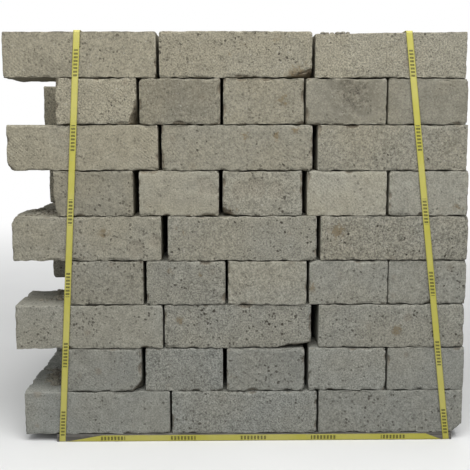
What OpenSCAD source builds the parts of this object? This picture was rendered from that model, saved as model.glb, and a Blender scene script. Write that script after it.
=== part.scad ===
// Strapped stack of sawn tuff blocks on a thin base panel
//
// Sizes are in millimetres. X runs along the front from left to right, Y from front to back and
// Z up. The origin is the middle of the base panel's underside, and the front looks along -Y.
// Courses count from the bottom up, rows from front to back and blocks from left to right.

/* [Block] */
// Length of a block
block_l = 370; // [360:1:400]
// Width of a block, sawn a little under 20 cm
block_w = 197; // [185:1:200]
// Height of a block, which is also the height of a course
block_h = 112; // [95:1:125]
// Wear along the arrises of a block
arris = 4; // [2:0.5:8]

/* [Laying] */
// Joint between block ends that the width of the stack allows for
joint = 7; // [3:1:12]
// Narrowest joint behind the front row
joint_min = 3; // [3:0.5:5]
// Widest joint behind the front row
joint_max = 9; // [6:0.5:12]
// Gap between two rows of a course
row_gap = 9; // [8:0.5:14]
// How far a block may sit back from the face of the stack
set_in = 3; // [0:0.5:4]
// How far a block may lie out of square, in degrees
skew = 0.25; // [0:0.05:0.3]
// Seed for the hand-laid places
laying_seed = 11; // [1:1:99]
// Slip of each course to the right
course_slip = [7, 8, 4, 6, 6, 2, -4, -7, -13]; // [-15:1:15]
// Whether the middle row of each course reaches the left end (1) or the right end (0)
middle_left = [1, 1, 0, 1, 1, 1, 0, 1, 0]; // [0:1:1]
// Joints in the front row of each course
front_joints = [
    [5, 4],
    [9, 10, 10, 4],
    [4, 18],
    [8, 6, 6, 3],
    [16, 9],
    [14, 8, 13, 6],
    [8, 12],
    [7, 6, 5, 3],
    [7, 7]
]; // [3:1:20]

/* [Broken corners of the front row] */
// Course, block, side (-1 left, 1 right), edge (-1 bottom, 1 top) and the run along X, Y and Z
broken_corners = [
    [1, 3, 1, -1, 28, 40, 20],
    [2, 1, 1, -1, 24, 45, 32],
    [3, 2, 1, -1, 108, 35, 15],
    [5, 1, -1, 1, 16, 60, 12],
    [6, 1, -1, -1, 9, 60, 38],
    [6, 3, -1, -1, 44, 30, 19],
    [7, 1, -1, -1, 14, 40, 18],
    [8, 1, 1, -1, 23, 45, 60],
    [9, 2, 1, -1, 60, 30, 20]
]; // [8:1:120] for the runs

/* [Base] */
// Thickness of the base panel
base_t = 18; // [17:0.5:30]
// How far the panel reaches past the outer edges of the straps
base_lip = 6; // [2:1:12]

/* [Straps] */
// Width of the strap
strap_w = 16; // [10:0.5:16]
// Thickness of the strap
strap_t = 0.8; // [0.5:0.1:1.2]
// Clearance between a strap and what it lies on
strap_clear = 0.3; // [0.2:0.1:0.5]
// Inner radius where a strap turns over the top of the stack
strap_bend = 6; // [2:0.5:6]
// Inner radius where a strap turns under the base panel
strap_foot_bend = 1; // [0.5:0.1:1]
// Left strap at the top, from the left end of the stack
left_top = 169; // [130:1:300]
// Left strap at the foot, from the left end of the stack
left_foot = 107; // [60:1:200]
// Right strap at the top, from the right end of the stack
right_top = 157; // [100:1:300]
// Right strap at the foot, from the right end of the stack
right_foot = 34; // [20:1:200]
// Length of the fold that tucks the left end of the foot strap under the panel
tuck_left = 90; // [30:1:120]
// Length of the fold that tucks the right end of the foot strap under the panel
tuck_right = 42; // [30:1:120]
// Gap between the foot strap's end and the upright strap beside it
tuck_gap = 3; // [1:0.5:8]

/* [Hidden] */
tuff = "#9d978a";
timber = "#7d7972";
strapping = "#c3ba4e";

stretchers = 3;
headers = 5;
back_row = 2;
turn_steps = 6;
courses = len(course_slip);

stretcher_row = stretchers * block_l + (stretchers - 1) * joint;
header_row = headers * block_w + (headers - 1) * joint;
stack_w = max(stretcher_row, header_row);
stack_d = block_w + 2 * block_l + 2 * row_gap;
stack_top = base_t + courses * block_h;
skew_reach = block_l / 2 * sin(skew);

left_top_x = left_top - stack_w / 2;
left_foot_x = left_foot - stack_w / 2;
right_top_x = stack_w / 2 - right_top;
right_foot_x = stack_w / 2 - right_foot;

base_left = left_foot_x - strap_w / 2 - base_lip;
base_right = right_foot_x + strap_w / 2 + base_lip;
groove_d = strap_t + 2 * strap_clear;

strap_face = stack_d / 2 + strap_clear;
strap_top = stack_top + strap_clear;

tuck_left_x = left_foot_x + strap_w / 2 + tuck_gap;
tuck_right_x = right_foot_x - strap_w / 2 - tuck_gap;

function total(list, n) = n == 0 ? 0 : list[n - 1] + total(list, n - 1);

// Every course is the same layer, turned round from one course to the next
function is_stretcher(course, row) = row == (course % 2 == 1 ? 0 : back_row);
function count_x(course, row) = is_stretcher(course, row) ? stretchers : headers;
function size_x(course, row) = is_stretcher(course, row) ? block_l : block_w;
function size_y(course, row) = is_stretcher(course, row) ? block_w : block_l;

function seed(course, row) = laying_seed + 31 * course + 7 * row;
function row_joints(course, row) = row == 0
    ? front_joints[course - 1]
    : rands(joint_min, joint_max, count_x(course, row) - 1, seed(course, row));
function row_length(course, row) =
    count_x(course, row) * size_x(course, row)
    + total(row_joints(course, row), count_x(course, row) - 1);

// Header rows are shorter than the stack, and some of them leave their gap at the right end
function gap_at_right(course, row) = row == 1
    ? middle_left[course - 1] == 1
    : row == back_row && course % 4 == 3;
function row_left(course, row) = course_slip[course - 1] + (gap_at_right(course, row)
    ? joint_max - stack_w / 2
    : stack_w / 2 - row_length(course, row));
function row_front(course, row) =
    row * row_gap - stack_d / 2
    + total([for (r = [0:1:back_row]) size_y(course, r)], row);

function block_x(course, row, n) =
    row_left(course, row)
    + (n - 0.5) * size_x(course, row)
    + total(row_joints(course, row), n - 1);

// The outer rows only ever sit back from the face, so that the straps stay clear of them
function block_y(course, row, n) =
    row_front(course, row) + size_y(course, row) / 2
    + (1 - row) * (skew_reach + rands(0, set_in, headers, seed(course, row) + 1)[n - 1]);
function block_turn(course, row, n) =
    rands(-skew, skew, headers, seed(course, row) + 2)[n - 1];

module worn_rectangle(a, b) {
    x = a / 2;
    y = b / 2;
    polygon([
        [arris - x, -y], [x - arris, -y],
        [x, arris - y], [x, y - arris],
        [x - arris, y], [arris - x, y],
        [-x, y - arris], [-x, arris - y]
    ]);
}

// A sawn block centred on its underside, with every arris worn
module block(a, b) {
    intersection() {
        linear_extrude(block_h)
            worn_rectangle(a, b);
        translate([0, b / 2, block_h / 2])
            rotate([90, 0, 0])
                linear_extrude(b)
                    worn_rectangle(a, block_h);
        translate([-a / 2, 0, block_h / 2])
            rotate([90, 0, 90])
                linear_extrude(a)
                    worn_rectangle(b, block_h);
    }
}

// What breaks off at a front corner: all that lies beyond the plane through three points, each at
// its run from the corner
module broken_corner(a, b, side, edge, run) {
    corner = [side * a / 2, -b / 2, edge > 0 ? block_h : 0];
    slope = [side / run[0], -1 / run[1], edge / run[2]];
    normal = slope / norm(slope);
    reach = 2 * max(run);
    translate(corner - normal / norm(slope))
        rotate(a = acos(normal[2]), v = cross([0, 0, 1], normal))
            translate([-reach, -reach, 0])
                cube([2 * reach, 2 * reach, reach]);
}

module front_block(course, n) {
    a = size_x(course, 0);
    b = size_y(course, 0);
    difference() {
        block(a, b);
        for (c = broken_corners)
            if (c[0] == course && c[1] == n)
                broken_corner(a, b, c[2], c[3], [c[4], c[5], c[6]]);
    }
}

module course(number) {
    for (row = [0:1:back_row], n = [1:1:count_x(number, row)])
        translate([
            block_x(number, row, n),
            block_y(number, row, n),
            base_t + (number - 1) * block_h
        ])
            rotate([0, 0, block_turn(number, row, n)])
                if (row == 0)
                    front_block(number, n);
                else
                    block(size_x(number, row), size_y(number, row));
}

// A quarter turn of the strap's path about a middle, from the angle given
function turn(middle, radius, from) = [
    for (i = [0:1:turn_steps])
        middle + radius * [cos(from + i * 90 / turn_steps), sin(from + i * 90 / turn_steps)]
];

// The strap's path round the stack as seen from the side, grown outwards by a thickness
module strap_path(grow) {
    foot = strap_clear + strap_t + strap_foot_bend;
    top = strap_top - strap_bend;
    foot_y = strap_face - strap_foot_bend;
    top_y = strap_face - strap_bend;
    polygon(concat(
        turn([foot_y, foot], strap_foot_bend + grow, -90),
        turn([top_y, top], strap_bend + grow, 0),
        turn([-top_y, top], strap_bend + grow, 90),
        turn([-foot_y, foot], strap_foot_bend + grow, 180)
    ));
}

// A closed strap: up the front, over the top, down the back and under the base. Its ring round the
// stack is cut to a strip that leans from the foot to the top.
module strap_loop(top_x, foot_x) {
    half = strap_w / 2;
    left = min(top_x, foot_x) - half;
    right = max(top_x, foot_x) + half;
    foot_z = strap_clear + strap_t + strap_foot_bend;
    top_z = strap_top - strap_bend;
    intersection() {
        translate([left, 0, 0])
            rotate([90, 0, 90])
                linear_extrude(right - left)
                    difference() {
                        strap_path(strap_t);
                        strap_path(0);
                    }
        translate([0, stack_d, 0])
            rotate([90, 0, 0])
                linear_extrude(2 * stack_d)
                    polygon([
                        [foot_x - half, 0], [foot_x + half, 0], [foot_x + half, foot_z],
                        [top_x + half, top_z], [top_x + half, 2 * stack_top],
                        [top_x - half, 2 * stack_top], [top_x - half, top_z],
                        [foot_x - half, foot_z]
                    ]);
    }
}

// The corner of the foot strap that is folded under the panel
module tuck(end_x, fold) {
    front = -strap_face - strap_t;
    translate([0, 0, strap_clear])
        linear_extrude(strap_t)
            polygon([[end_x, front], [end_x + fold, front], [end_x, front + strap_w]]);
}

module strap_groove(x) {
    translate([x - strap_w / 2 - strap_clear, -stack_d, -groove_d])
        cube([strap_w + 2 * strap_clear, 2 * stack_d, 2 * groove_d]);
}

module tuck_groove(from_x, to_x) {
    translate([from_x - strap_clear, -stack_d / 2 - strap_w, -groove_d])
        cube([to_x - from_x + 2 * strap_clear, 2 * strap_w, 2 * groove_d]);
}

module course_1() {
    color(tuff) course(1);
}

module course_2() {
    color(tuff) course(2);
}

module course_3() {
    color(tuff) course(3);
}

module course_4() {
    color(tuff) course(4);
}

module course_5() {
    color(tuff) course(5);
}

module course_6() {
    color(tuff) course(6);
}

module course_7() {
    color(tuff) course(7);
}

module course_8() {
    color(tuff) course(8);
}

module course_9() {
    color(tuff) course(9);
}

module base_panel() {
    color(timber)
        difference() {
            translate([base_left, -stack_d / 2, 0])
                cube([base_right - base_left, stack_d, base_t]);
            strap_groove(left_foot_x);
            strap_groove(right_foot_x);
            tuck_groove(tuck_left_x, tuck_left_x + tuck_left);
            tuck_groove(tuck_right_x - tuck_right, tuck_right_x);
        }
}

module strap_left() {
    color(strapping) strap_loop(left_top_x, left_foot_x);
}

module strap_right() {
    color(strapping) strap_loop(right_top_x, right_foot_x);
}

// Runs along the front edge of the panel between the uprights, with both ends tucked under
module strap_foot() {
    color(strapping) {
        translate([0, -strap_face, strap_clear])
            rotate([90, 0, 0])
                linear_extrude(strap_t)
                    polygon([
                        [tuck_left_x, 0], [tuck_right_x, 0],
                        [tuck_right_x - tuck_right, strap_w], [tuck_left_x + tuck_left, strap_w]
                    ]);
        tuck(tuck_left_x, tuck_left);
        tuck(tuck_right_x, -tuck_right);
    }
}

course_1();
course_2();
course_3();
course_4();
course_5();
course_6();
course_7();
course_8();
course_9();
base_panel();
strap_left();
strap_right();
strap_foot();
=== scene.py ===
"""Looks for a strapped stack of sawn tuff blocks: worn and chipped stone, printed band and a grey board.

Everything is in metres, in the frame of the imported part: X along the front, -Y out of the front, Z up.
Each block takes its place, size, turn and broken corner from its solid in the frame.
"""

import math

import bpy
import numpy as np
from bpy.props import FloatProperty, FloatVectorProperty, IntProperty, PointerProperty
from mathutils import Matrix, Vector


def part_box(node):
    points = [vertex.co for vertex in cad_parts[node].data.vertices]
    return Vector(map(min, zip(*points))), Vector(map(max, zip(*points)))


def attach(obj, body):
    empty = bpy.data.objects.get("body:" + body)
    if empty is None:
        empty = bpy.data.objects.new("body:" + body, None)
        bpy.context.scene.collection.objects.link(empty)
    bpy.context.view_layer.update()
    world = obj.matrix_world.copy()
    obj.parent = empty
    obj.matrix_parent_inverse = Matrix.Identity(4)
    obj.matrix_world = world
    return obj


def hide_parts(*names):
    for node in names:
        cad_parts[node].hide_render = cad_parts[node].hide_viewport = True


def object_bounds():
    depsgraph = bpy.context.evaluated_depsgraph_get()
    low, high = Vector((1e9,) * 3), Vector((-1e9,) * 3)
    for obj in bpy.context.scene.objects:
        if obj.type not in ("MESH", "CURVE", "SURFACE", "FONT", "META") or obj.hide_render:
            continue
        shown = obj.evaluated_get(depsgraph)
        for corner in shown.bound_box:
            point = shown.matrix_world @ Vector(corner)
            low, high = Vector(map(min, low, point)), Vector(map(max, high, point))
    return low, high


bl_info = {
    "name": "Tuff Block Stack",
    "version": (1, 0, 0),
    "blender": (4, 5, 0),
    "location": "3D View > Sidebar > Tuff Stack",
    "description": "Dresses a strapped stack of tuff blocks around its packed solids",
    "category": "Object",
}

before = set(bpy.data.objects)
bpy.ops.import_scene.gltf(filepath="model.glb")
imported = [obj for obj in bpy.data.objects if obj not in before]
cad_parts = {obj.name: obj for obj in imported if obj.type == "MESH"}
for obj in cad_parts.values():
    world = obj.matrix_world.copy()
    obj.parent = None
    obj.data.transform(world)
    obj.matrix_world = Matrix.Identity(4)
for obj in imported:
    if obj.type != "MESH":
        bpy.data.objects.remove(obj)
CAD_BOX = [list(corner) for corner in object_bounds()]

COURSES = [f"course_{number}" for number in range(1, 10)]
UPRIGHTS = ("strap_left", "strap_right")
TOP_COURSE = len(COURSES)
MM = 0.001

# Points of a solid in one cell of this size are one point
WELD = 0.02 * MM

# A block of the front or back row has a face no deeper than this in the stack
ROW_SLACK = 18.6 * MM

# Grid lines near an arris, measured from it, for faces seen close, seen at all and hidden
CLOSE_BAND = np.array([0, 1.4, 3.2, 5.6, 8.8, 13.0]) * MM
SEEN_BAND = np.array([0, 2.0, 4.8, 8.4, 13.0]) * MM
HIDDEN_BAND = np.array([0, 4.0, 13.0]) * MM
CLOSE_STEP, SEEN_STEP, HIDDEN_STEP = 5 * MM, 12 * MM, 40 * MM


# ---- numbers


SCRAMBLE = [np.uint32(prime) for prime in (374761393, 668265263, 2246822519, 3266489917)]
OCTAVE_SEED = 17


def lattice_values(cell, seed):
    """One number from 0 to 1 for each whole-number cell, scrambled from its three indices and the seed."""
    k = cell.astype(np.int64).astype(np.uint32)
    h = k[:, 0] * SCRAMBLE[0] + k[:, 1] * SCRAMBLE[1]
    h += k[:, 2] * SCRAMBLE[2] + np.uint32(seed * int(SCRAMBLE[3]) % 2**32)
    for bits, prime in ((15, SCRAMBLE[2]), (13, SCRAMBLE[3])):
        h = (h ^ (h >> np.uint32(bits))) * prime
    return (h ^ (h >> np.uint32(16))).astype(np.float64) / 2**32


def soft_noise(points, pitch, seed, octaves):
    """Smooth noise from 0 to 1: lattice values blended by a cubic ease.

    Each octave is half as coarse and half as strong as the one before.
    """
    total = np.zeros(len(points))
    weight = 0.0
    for octave in range(octaves):
        at = points / pitch * 2**octave
        cell = np.floor(at)
        part = at - cell
        ease = part * part * (3 - 2 * part)
        value = np.zeros(len(points))
        for corner in np.ndindex(2, 2, 2):
            share = np.prod(np.where(corner, ease, 1 - ease), axis=1)
            value += share * lattice_values(cell + corner, seed + OCTAVE_SEED * octave)
        total += value / 2**octave
        weight += 1 / 2**octave
    return total / weight


def smooth_step(low, high, x):
    """0 below low, 1 above high, and a cubic ease between."""
    t = np.clip((x - low) / (high - low), 0, 1)
    return t * t * (3 - 2 * t)


# ---- meshes


def make_piece(name, points, quads, material, attributes=None, uv=None):
    """A closed quad mesh at the origin, riding on the stack.

    An attribute has a number or three at each point, and the UV map has a pair at each quad's corner.
    """
    mesh = bpy.data.meshes.new(name)
    mesh.vertices.add(len(points))
    mesh.vertices.foreach_set("co", points.astype(np.float32).ravel())
    mesh.loops.add(quads.size)
    mesh.loops.foreach_set("vertex_index", quads.astype(np.int32).ravel())
    mesh.polygons.add(len(quads))
    mesh.polygons.foreach_set("loop_start", np.arange(0, quads.size, 4, dtype=np.int32))
    mesh.polygons.foreach_set("use_smooth", np.ones(len(quads), bool))
    mesh.update(calc_edges=True)
    for label, values in (attributes or {}).items():
        kind, key = ("FLOAT", "value") if values.ndim == 1 else ("FLOAT_VECTOR", "vector")
        attribute = mesh.attributes.new(label, kind, "POINT")
        attribute.data.foreach_set(key, values.astype(np.float32).ravel())
    if uv is not None:
        layer = mesh.uv_layers.new(name="band")
        layer.uv.foreach_set("vector", uv.astype(np.float32).ravel())
    mesh.validate()
    mesh.materials.append(material)
    piece = bpy.data.objects.new(name, mesh)
    bpy.context.scene.collection.objects.link(piece)
    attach(piece, "root")
    return piece


def solids_of(node):
    """The corner points and triangles of each solid in a node, with its loose triangles joined."""
    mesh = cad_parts[node].data
    points = np.empty(len(mesh.vertices) * 3, np.float32)
    mesh.vertices.foreach_get("co", points)
    mesh.calc_loop_triangles()
    corners = np.empty(len(mesh.loop_triangles) * 3, np.int32)
    mesh.loop_triangles.foreach_get("vertices", corners)
    points = points.reshape(-1, 3).astype(np.float64)
    keys, joined = np.unique(np.round(points / WELD), axis=0, return_inverse=True)
    triangles = joined.ravel()[corners].reshape(-1, 3)
    points = keys * WELD
    label = np.arange(len(points))
    settled = False
    while not settled:
        before = label.copy()
        np.minimum.at(label, triangles, label[triangles].min(axis=1)[:, None])
        label = label[label]
        settled = np.array_equal(before, label)
    return [(points, triangles[label[triangles[:, 0]] == one]) for one in np.unique(label[triangles])]


def block_from(points, triangles):
    """A block's middle, half sizes and turn, and the plane of its broken corner if it has one.

    The turn is the mean direction of the upright faces, taken four times so that all sides agree. A
    face that leans along all three of the block's own axes is a break.
    """
    sliver, plumb, least_lean = 1e-10, 0.02, 0.03
    a, b, c = (points[triangles[:, i]] for i in range(3))
    normal = np.cross(b - a, c - a)
    area = np.linalg.norm(normal, axis=1)
    keep = area > sliver
    normal, area, a = normal[keep] / area[keep, None], area[keep], a[keep]
    upright = np.abs(normal[:, 2]) < plumb
    angle = np.arctan2(normal[upright, 1], normal[upright, 0])
    turn = np.angle(np.sum(area[upright] ** 2 * np.exp(4j * angle))) / 4
    spin = np.array([[math.cos(turn), -math.sin(turn), 0], [math.sin(turn), math.cos(turn), 0], [0, 0, 1]])
    local = points[np.unique(triangles)] @ spin
    low, high = local.min(axis=0), local.max(axis=0)
    own = normal @ spin
    leaning = np.abs(own).min(axis=1) > least_lean
    broken = None
    if leaning.any():
        slope = np.average(own[leaning], axis=0, weights=area[leaning])
        slope /= np.linalg.norm(slope)
        broken = (slope, np.mean((a[leaning] @ spin - (low + high) / 2) @ slope))
    return {"middle": spin @ ((low + high) / 2), "half": (high - low) / 2, "spin": spin, "broken": broken}


def sorted_blocks(node):
    """The blocks of a course with their row from the front and place from the left."""
    blocks = [block_from(*solid) for solid in solids_of(node)]
    first, last = CAD_BOX[0][1] + ROW_SLACK, CAD_BOX[1][1] - ROW_SLACK
    for block in blocks:
        front, back = (block["middle"][1] + side * block["half"][1] for side in (-1, 1))
        block["row"] = 0 if front < first else 2 if back > last else 1
    ordered = []
    for row in range(3):
        line = sorted((b for b in blocks if b["row"] == row), key=lambda b: b["middle"][0])
        for place, block in enumerate(line):
            block["place"] = place
            block["ends"] = (place == 0, place == len(line) - 1)
            ordered.append(block)
    return ordered


def grid_lines(half, step, low_band, high_band):
    """Places of the grid lines along one axis of a block: close together at both arrises, even between."""
    first, last = low_band - half, half - high_band[::-1]
    between = max(1, int(round((last[0] - first[-1]) / step)))
    middle = np.linspace(first[-1], last[0], between + 1)[1:-1]
    return np.concatenate([first, middle, last])


def block_grid(block, top):
    """Grid lines of a block along its three axes, as fine as the faces that show need."""
    seen = {(1, -1): block["row"] == 0, (1, 1): block["row"] == 2, (2, 1): top}
    seen[0, -1], seen[0, 1] = block["ends"]
    lines = []
    for axis in range(3):
        across = [face for face, shows in seen.items() if shows and face[0] != axis]
        close = (1, -1) in across
        step = CLOSE_STEP if close else SEEN_STEP if across else HIDDEN_STEP
        bands = []
        for side in (-1, 1):
            own = seen.get((axis, side), False)
            near = close or ((axis, side) == (1, -1) and own)
            bands.append(CLOSE_BAND if near else SEEN_BAND if across or own else HIDDEN_BAND)
        lines.append(grid_lines(block["half"][axis], step, *bands))
    return lines, seen


def box_skin(lines):
    """Points and quads of a closed box skin: the six face grids of a lattice, sharing their edge points."""
    shape = [len(line) for line in lines]
    index = np.indices(shape)
    outer = np.zeros(shape, bool)
    for axis in range(3):
        outer |= (index[axis] == 0) | (index[axis] == shape[axis] - 1)
    number = np.full(shape, -1)
    number[outer] = np.arange(outer.sum())
    points = np.stack([lines[axis][index[axis][outer]] for axis in range(3)], axis=1)
    quads = []
    for axis in range(3):
        for side in (0, -1):
            sheet = np.take(number, side, axis=axis)
            ring = [sheet[:-1, :-1], sheet[1:, :-1], sheet[1:, 1:], sheet[:-1, 1:]]
            outward = (side == -1) == (axis != 1)
            ring = ring if outward else ring[::-1]
            quads.append(np.stack([corner.ravel() for corner in ring], axis=1))
    return points, np.concatenate(quads)


# ---- wear


# Noises of the wear: pitch, seed and octaves
NOISES = {
    "wander": (60 * MM, 3, 2),
    "ragged": (13 * MM, 15, 2),
    "knock": (130 * MM, 5, 1),
    "bed": (40 * MM, 23, 1),
    "bed_crumble": (13 * MM, 25, 1),
    "wave": (120 * MM, 7, 3),
    "calm": (90 * MM, 9, 1),
    "break": (18 * MM, 11, 3),
    "flake": (24 * MM, 27, 3),
    "tooth": (15 * MM, 13, 2),
    "sag": (90 * MM, 21, 1),
    "dent": (0.8, 31, 2),
}

# Ranges of the wear: where each effect starts and is full
WEAR_RANGES = {
    "ragged": (0.5, 0.75),
    "at_bed": (16 * MM, 4 * MM),
    "uneven": (0.25, 0.8),
    "bed_behind": (45 * MM, 12 * MM),
    "bed_end": (0.0, 35 * MM),
    "bed_height": (26 * MM, 0.0),
    "joint": (32 * MM, 6 * MM),
    "calm": (0.0, 0.4),
    "break": (0.2 * MM, 4 * MM),
    "chip": (0.3 * MM, 3 * MM),
    "flake": (0.42, 0.58),
    "arris": (0.99, 0.75),
    "stain": (98.6 * MM, 28.6 * MM),
    "drift": (0.1, 0.4),
}

# A block's wear: reach of the random shift of its noises in metres, and how blunt its arrises are
SHIFT_REACH, BLUNT = 40, (0.5, 1.2)

# Stains and flaked places on the front: x, z and reach in millimetres, then the strength
OCHRE_SPOTS = (
    (240, 540, 22, 0.95),
    (535, 600, 13, 0.95),
    (395, 285, 19, 0.85),
    (-340, 535, 15, 0.9),
    (-175, 440, 13, 0.6),
    (-100, 430, 9, 0.8),
    (105, 860, 20, 0.6),
    (-150, 545, 27, 0.35),
    (140, 920, 30, 0.95),
    (170, 920, 22, 1.0),
    (115, 915, 16, 0.75),
    (85, 1010, 13, 0.7),
    (-20, 165, 13, 0.65),
    (-155, 315, 12, 0.9),
    (-25, 590, 22, 0.6),
    (130, 790, 12, 0.9),
    (85, 775, 12, 0.95),
    (10, 775, 11, 0.8),
    (5, 995, 11, 0.4),
    (-30, 975, 9, 0.55),
    (180, 400, 17, 0.8),
)
FLAKE_SPOTS = (
    (-90, 655, 26, 1.0),
    (-70, 640, 18, 0.9),
    (0, 640, 30, 0.9),
    (40, 650, 32, 0.95),
    (85, 640, 26, 0.85),
    (-260, 500, 30, 0.9),
    (-215, 515, 26, 0.85),
)
SOOT_SPOTS = ((270, 880, 66, 0.95), (-145, 880, 80, 0.4), (-470, 920, 34, 0.4))

# Kinds of stone among the front blocks: share of the pores, added tone, then course and place from the left
STONE_KINDS = {
    "pale_close": (0.74, 0.9, ((2, 3), (2, 4), (4, 2), (4, 3), (6, 1), (6, 3), (7, 0))),
    "dull_close": (0.68, -1.3, ((8, 1), (8, 2), (8, 3), (8, 4))),
    "open": (1.12, -0.4, ((3, 1), (3, 2), (4, 4), (5, 1), (5, 2), (7, 1), (7, 2))),
}

# Fall of the top of the three front blocks of the top course, at the left and right end, in millimetres
TOP_FALL = ((2.4, 0.8), (0.0, 0.0), (6.0, 0.4))

# Added depth of the tooth in a fresh break, and how fresh a flaked place looks
BREAK_TOOTH, FLAKE_FRESH = 2.2 * MM, 0.3

# Chips: share of an arris that they keep to, slant along and lean off its diagonal, shallowest chip as a
# share of the deepest, odds of the depth, and the ball's radius as a multiple of the depth
CHIP_ALONG, CHIP_SLANT, CHIP_LEAN = 0.97, 0.5, (0.6, 1.4)
CHIP_LEAST, CHIP_ODDS, CHIP_BALL = 0.12, (1.1, 3.0), (1.6, 4.0)


def wear_noise(label, points):
    """One of the named noises of the wear at each point, from 0 to 1."""
    return soft_noise(points, *NOISES[label])


def in_range(label, x):
    """How far x is through one of the named ranges of the wear, from 0 to 1."""
    return smooth_step(*WEAR_RANGES[label], x)


def worn_box(points, half, radius):
    """Points of a box skin drawn in to rounded arrises, and the outward direction at each.

    The box is shrunk by the radius at that point, and the point lies one radius off the nearest point
    of the shrunk box.
    """
    inner = np.clip(points, -(half - radius[:, None]), half - radius[:, None])
    away = points - inner
    outward = away / np.linalg.norm(away, axis=1)[:, None]
    return inner + outward * radius[:, None], outward


def arris_radius(lost, inside, usual, blunt):
    """Radius of the worn arrises at each point of a block.

    The usual radius times a sum: a share everywhere, a slow wander, crumbled stretches and knocked
    corners. All but the first are stronger along the beds than along the upright arrises.
    """
    least, crumble, knock, upright, at_bed = 0.35, 2.6, 1.4, 0.45, 1.15
    corner_reach, widest = 24 * MM, 12 * MM
    wander = wear_noise("wander", lost)
    ragged = in_range("ragged", wear_noise("ragged", lost))
    to_corner = np.clip(1 - inside.max(axis=1) / corner_reach, 0, 1)
    knocked = to_corner * wear_noise("knock", lost) * knock
    level = upright + at_bed * in_range("at_bed", inside[:, 2])
    radius = usual * (least + blunt * level * (wander**2 + crumble * ragged * wander + knocked))
    return np.minimum(radius, widest)


def top_fall(share, place):
    """Fall of a front block of the top course: straight from end to end, and from nothing at its foot."""
    left, right = TOP_FALL[place]
    fall = left + (right - left) * (share[:, 0] + 1) / 2
    return fall * MM * (share[:, 2] + 1) / 2


def bed_wear(skin, inside, shift, gap, top):
    """How far each point of a block is drawn in, up or down, to an uneven bed.

    Two noises along the bed, kept to the front and back of the block and away from its ends, and fading
    up the face. A bed that shows on the top is worn less.
    """
    slow, fast, beds_apart, on_top = 0.4, 0.6, 0.4, 0.4
    side = np.sign(skin[:, 2])
    bed = np.stack([skin[:, 0], skin[:, 1], beds_apart * side], axis=1) + shift
    uneven = slow * wear_noise("bed", bed) + fast * wear_noise("bed_crumble", bed)
    sunk = gap * in_range("uneven", uneven) * np.where(top & (side > 0), on_top, 1.0)
    sunk *= in_range("bed_behind", inside[:, 1]) * in_range("bed_end", inside[:, 0])
    return side * sunk * in_range("bed_height", inside[:, 2])


def relief_share(outward, inside, seen):
    """Share of the relief at each point: all on faces that show, less on a top, and little in a joint.

    In a joint the share fades away from the arrises, and a hidden bed has none.
    """
    on_top, in_joint = 0.4, 0.25
    shows = np.array([[bool(seen.get((axis, side))) for side in (-1, 1)] for axis in range(3)])
    facing = np.abs(outward).argmax(axis=1)
    bare = shows[facing, (outward[np.arange(len(outward)), facing] > 0).astype(int)]
    flat = facing == 2
    to_arris = np.sort(inside, axis=1)[:, 1]
    joint = np.where(flat, 0.0, in_joint * in_range("joint", to_arris))
    return np.where(bare, np.where(flat, on_top, 1.0), joint)


def broken_off(points, broken, lost):
    """Points beyond a broken corner's plane drawn back to it, and how much is gone at each, from 0 to 1.

    The plane is roughened inwards by noise, with some of it left smooth.
    """
    slope, reach = broken
    roughest, smooth = 10 * MM, 2.5 * MM
    rough = roughest * wear_noise("break", lost) - smooth
    beyond = np.maximum(points @ slope - reach + np.maximum(rough, 0), 0)
    return points - slope * beyond[:, None], in_range("break", beyond)


def bitten(points, centre, radius):
    """Points inside a ball pushed out to its surface, which leaves a shell-shaped chip in an arris."""
    away = points - centre
    distance = np.maximum(np.linalg.norm(away, axis=1), 1e-6)
    inside = distance < radius
    depth = np.where(inside, radius - distance, 0)
    return points + away / distance[:, None] * depth[:, None], depth


def chip_balls(block, seen, rng, count, deepest):
    """Balls that bite the arrises of the faces that show, with their middles out along the diagonal."""
    faces = [face for face, shows in seen.items() if shows]
    half = block["half"]
    shallowest = deepest * CHIP_LEAST
    balls = []
    for _ in range(count if faces else 0):
        axis, side = faces[rng.integers(len(faces))]
        others = [other for other in range(3) if other != axis]
        other = others[rng.integers(2)]
        along = 3 - axis - other
        out = np.zeros(3)
        out[axis], out[other] = side, rng.choice([-1, 1])
        spot = out * half
        spot[along] = rng.uniform(-CHIP_ALONG, CHIP_ALONG) * half[along]
        out[along] = rng.uniform(-CHIP_SLANT, CHIP_SLANT)
        out[axis] *= rng.uniform(*CHIP_LEAN)
        out /= np.linalg.norm(out)
        depth = shallowest + (deepest - shallowest) * rng.beta(*CHIP_ODDS)
        radius = depth * rng.uniform(*CHIP_BALL)
        balls.append((spot + out * (radius - depth), radius))
    return balls


def spot_strength(points, spots, block):
    """Strength of a block's own front stains at each point.

    Each stain fades with the square of the distance over its reach, and all of them behind the front.
    """
    total = np.zeros(len(points))
    if block["row"] > 0:
        return total
    near = in_range("stain", points[:, 1] - CAD_BOX[0][1])
    for x, z, reach, strength in spots:
        off = np.abs(np.array([x, z]) * MM - block["middle"][[0, 2]])
        if (off < block["half"][[0, 2]]).all():
            away = np.hypot(points[:, 0] - x * MM, points[:, 2] - z * MM) / (reach * MM)
            total = np.maximum(total, strength * np.exp(-away * away))
    return total * near


def flaked(placed, outward, lost, block):
    """How much of the front face has flaked at each point, from 0 to 1, with an edge made ragged by noise."""
    raggedness, faintest, facing = 0.7, 0.05, 0.9
    ragged = raggedness * (wear_noise("flake", lost) - 0.5)
    strength = spot_strength(placed, FLAKE_SPOTS, block)
    return in_range("flake", strength + ragged) * (strength > faintest) * (outward[:, 1] < -facing)


def laid(points, block):
    """A block's own points turned and moved to its place in the stack."""
    return points @ block["spin"].T + block["middle"]


def stone_kind(block, number):
    """A block's share of the pores and its added tone, from its kind of stone."""
    for pores, paler, places in STONE_KINDS.values():
        if block["row"] == 0 and (number, block["place"]) in places:
            return pores, paler
    return 1.0, 0.0


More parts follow.
